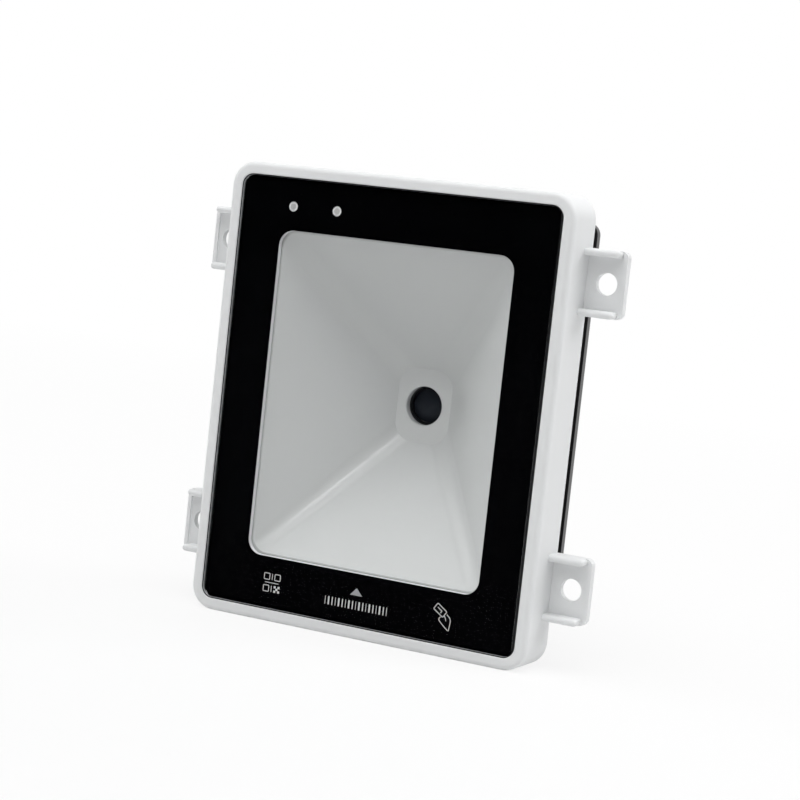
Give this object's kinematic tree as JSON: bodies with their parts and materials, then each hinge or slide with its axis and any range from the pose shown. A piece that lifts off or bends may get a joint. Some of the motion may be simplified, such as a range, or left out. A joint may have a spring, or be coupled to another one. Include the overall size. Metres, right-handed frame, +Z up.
{
  "type": "fixed barcode reader",
  "caption": "Panel-mounted barcode and card reader: a white screw-lugged frame round a black-masked pane, a white light cone that leads back to a small lens, and a black rear housing.",
  "frame": {"origin": "middle of the four lug screw holes, in the plane that the lugs seat on", "axes": "+X to the reader's right as seen from the front, +Y from the front into the panel, +Z up"},
  "size_m": [0.105, 0.042, 0.1054],
  "materials": {
    "white_shell": "fine satin moulding",
    "clear_glass": "polished",
    "black_mask": "printed black behind the pane",
    "white_cone": "matt white",
    "light_pipe": "frosted clear",
    "circuit_board": "satin lacquer",
    "copper_wire": "lacquered copper",
    "lamp_chip": "satin",
    "screw_steel": "zinc plated",
    "black_barrel": "black anodised",
    "lens_glass": "coated",
    "black_moulding": "matt",
    "chip_package": "matt",
    "capacitor_can": "satin",
    "jack_body": "satin",
    "gold_contact": "gold plated",
    "connector_body": "satin",
    "seal_rubber": "matt",
    "black_housing": "fine satin moulding"
  },
  "bodies": {
    "root": {"body_shell": "white_shell", "front_glass": "clear_glass", "glass_mask": "black_mask", "light_cone": "white_cone", "light_pipes": "light_pipe", "antenna_board": "circuit_board", "antenna_coil": "copper_wire", "status_leds": "lamp_chip", "antenna_screws": "screw_steel", "lens_barrel": "black_barrel", "lens_element": "lens_glass", "lens_holder": "black_moulding", "holder_screws": "screw_steel", "image_sensor": "chip_package", "main_board": "circuit_board", "main_board_screws": "screw_steel", "lighting_leds": "lamp_chip", "processor": "chip_package", "memory_chip": "chip_package", "buzzer": "black_moulding", "capacitors": "capacitor_can", "data_jack": "jack_body", "jack_contacts": "gold_contact", "cable_connectors": "connector_body", "antenna_cable": "connector_body", "back_gasket": "seal_rubber", "back_housing": "black_housing", "cover_screws": "screw_steel"}
  },
  "joints": []
}
